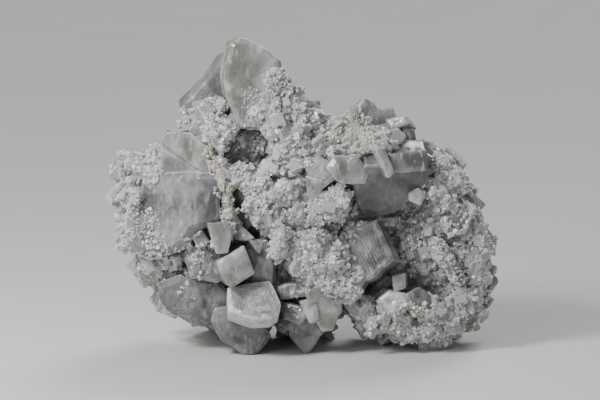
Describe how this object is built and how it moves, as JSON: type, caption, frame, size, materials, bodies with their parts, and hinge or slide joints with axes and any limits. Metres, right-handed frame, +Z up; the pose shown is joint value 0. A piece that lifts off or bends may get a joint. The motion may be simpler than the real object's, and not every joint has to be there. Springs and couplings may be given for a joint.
{
  "type": "barite with calcite specimen",
  "caption": "Upright cluster of tabular barite crystals with sugary calcite crusts; a mineral specimen that stands on its own feet.",
  "frame": {"origin": "centre of the specimen's box at the level of its feet", "axes": "+Z up, the show face looks along -Y, +X to the right as the show face is seen"},
  "size_m": [0.1182, 0.0554, 0.0955],
  "materials": {
    "barite": "glassy to frosted, see-through at thin edges",
    "calcite": "sugary, sparkling, white to cream"
  },
  "bodies": {
    "root": {"barite_cluster": "barite", "calcite_crust_crown": "calcite", "calcite_crust_shoulder": "calcite", "calcite_crust_centre": "calcite", "calcite_crust_left": "calcite", "calcite_crust_right": "calcite"}
  },
  "joints": []
}
